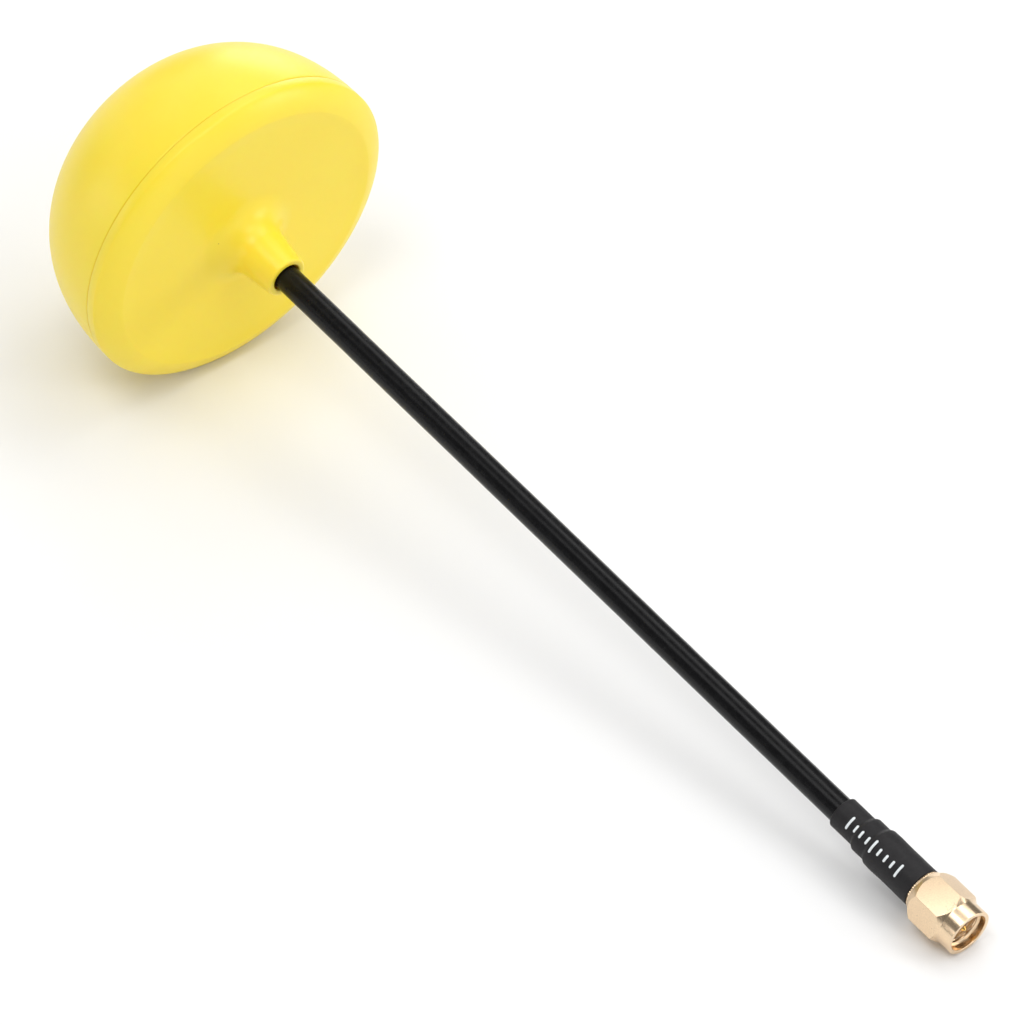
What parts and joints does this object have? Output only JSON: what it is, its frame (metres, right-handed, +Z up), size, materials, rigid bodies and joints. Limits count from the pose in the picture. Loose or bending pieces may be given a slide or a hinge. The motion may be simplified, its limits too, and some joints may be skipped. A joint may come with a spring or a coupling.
{
  "type": "mushroom antenna with coaxial plug",
  "caption": "Domed plastic antenna head with wire lobes inside, on a straight coaxial stem that ends in a shrink sleeve and a coaxial screw plug whose coupling nut spins.",
  "frame": {"origin": "centre of the plug's reference plane, where the outer contact meets the mating jack; the part lies on a level surface below it", "axes": "+Z up; the antenna's axis lies in the XZ plane, with the head towards -X and the plug's mouth towards +X, 8.06 degrees below level"},
  "size_m": [0.1964, 0.0564, 0.0563],
  "materials": {
    "yellow_plastic": "satin moulded yellow plastic",
    "adhesive": "cured glue",
    "copper": "bare copper wire",
    "solder": "bright solder",
    "black_jacket": "glossy extruded black jacket",
    "tinned_copper": "tinned copper braid",
    "white_dielectric": "white fluoropolymer",
    "black_sleeve": "matte heat-shrink tubing with a white printed tick scale",
    "gold_plating": "gold-plated turned brass",
    "spring_bronze": "spring bronze",
    "silicone": "red silicone rubber",
    "gold_pin": "polished gold-plated contact"
  },
  "bodies": {
    "antenna": {"dome_shell": "yellow_plastic", "base_cover": "yellow_plastic", "boss_adhesive": "adhesive", "lobe_wire_1": "copper", "lobe_wire_2": "copper", "lobe_wire_3": "copper", "lobe_wire_4": "copper", "feed_solder": "solder", "ground_solder": "solder", "coax_jacket": "black_jacket", "coax_outer_conductor": "tinned_copper", "coax_dielectric": "white_dielectric", "coax_core": "copper", "heat_shrink_sleeve": "black_sleeve", "crimp_ferrule": "gold_plating", "connector_body": "gold_plating", "retaining_ring": "spring_bronze", "gasket": "silicone", "connector_dielectric": "white_dielectric", "centre_contact": "gold_pin"},
    "nut": {"coupling_nut": "gold_plating"}
  },
  "joints": [
    {"name": "nut_spin", "type": "hinge", "parent": "antenna", "child": "nut", "pos_m": [0, 0, 0], "axis": [0.9901, 0, -0.1402], "continuous": true}
  ]
}
